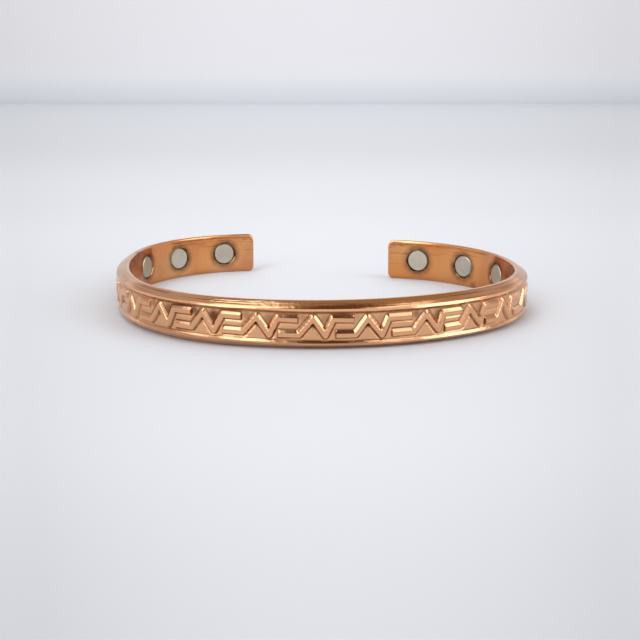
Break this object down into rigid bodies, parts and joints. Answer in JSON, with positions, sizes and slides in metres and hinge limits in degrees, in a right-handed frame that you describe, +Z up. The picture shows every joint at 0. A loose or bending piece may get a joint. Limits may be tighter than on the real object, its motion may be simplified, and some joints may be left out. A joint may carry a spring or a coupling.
{
  "type": "magnetic bracelet",
  "caption": "Open copper cuff bracelet with bevelled edges, a raised zigzag ornament round the outer face and disc magnets let into the inner face near the tips.",
  "frame": {"origin": "middle of the cuff's outline, on the plane that its lower edge lies on", "axes": "+X to the right across the cuff's width, +Y from the closed front to the gap between the tips, +Z up along the height of the strip"},
  "size_m": [0.0672, 0.06, 0.007],
  "materials": {
    "copper": "polished copper, lightly worn and tarnished",
    "magnet": "dull nickel plating"
  },
  "bodies": {
    "root": {"band": "copper", "magnet_left_1": "magnet", "magnet_left_2": "magnet", "magnet_left_3": "magnet", "magnet_right_1": "magnet", "magnet_right_2": "magnet", "magnet_right_3": "magnet"}
  },
  "joints": []
}
